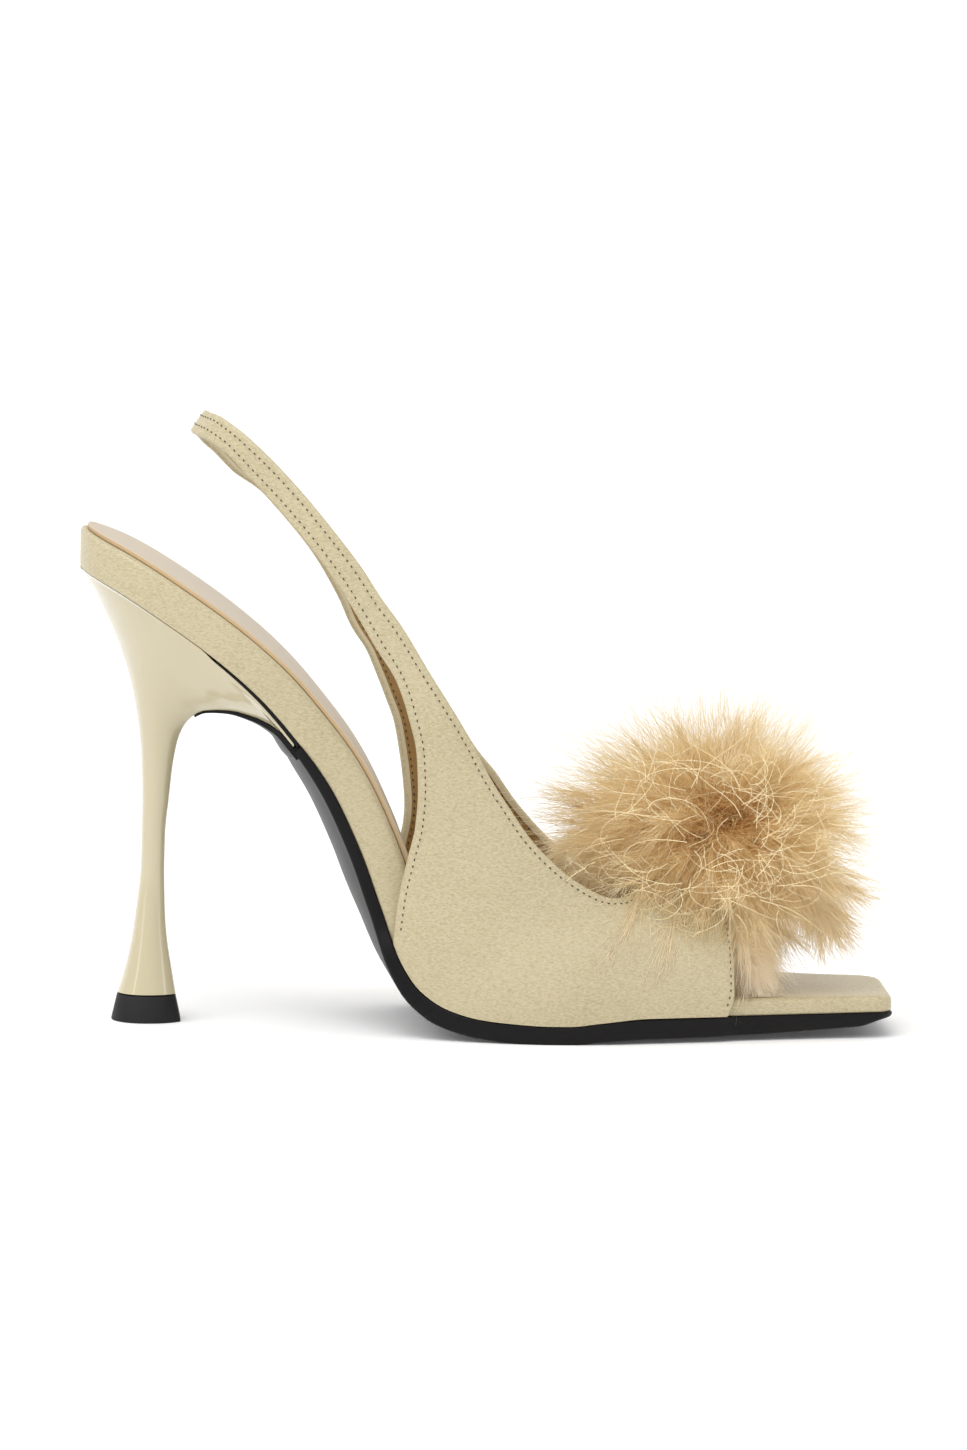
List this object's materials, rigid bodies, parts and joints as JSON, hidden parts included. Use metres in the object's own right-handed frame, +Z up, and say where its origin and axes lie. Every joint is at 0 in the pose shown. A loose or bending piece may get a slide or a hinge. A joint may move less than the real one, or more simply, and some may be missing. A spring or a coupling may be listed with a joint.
{
  "type": "slingback sandal",
  "caption": "High-heeled peep-toe slingback sandal in khaki-gold satin, with a lacquered stiletto heel and a feather pompom on the vamp.",
  "frame": {"origin": "centre of the heel tip's face on the floor", "axes": "+X from the heel to the toe along the floor, +Z up, -Y towards the outer side of the foot"},
  "size_m": [0.1984, 0.0753, 0.1487],
  "materials": {
    "satin": "satin weave, khaki gold",
    "lacquer": "gloss",
    "sole_leather": "polished black",
    "tip_rubber": "matte",
    "insole_leather": "smooth, cream",
    "marabou": "down feathers, honey"
  },
  "bodies": {
    "root": {"heel_tip": "tip_rubber", "heel": "lacquer", "outsole": "sole_leather", "footbed": "satin", "insole": "insole_leather", "upper": "satin", "pompom": "marabou"}
  },
  "joints": []
}
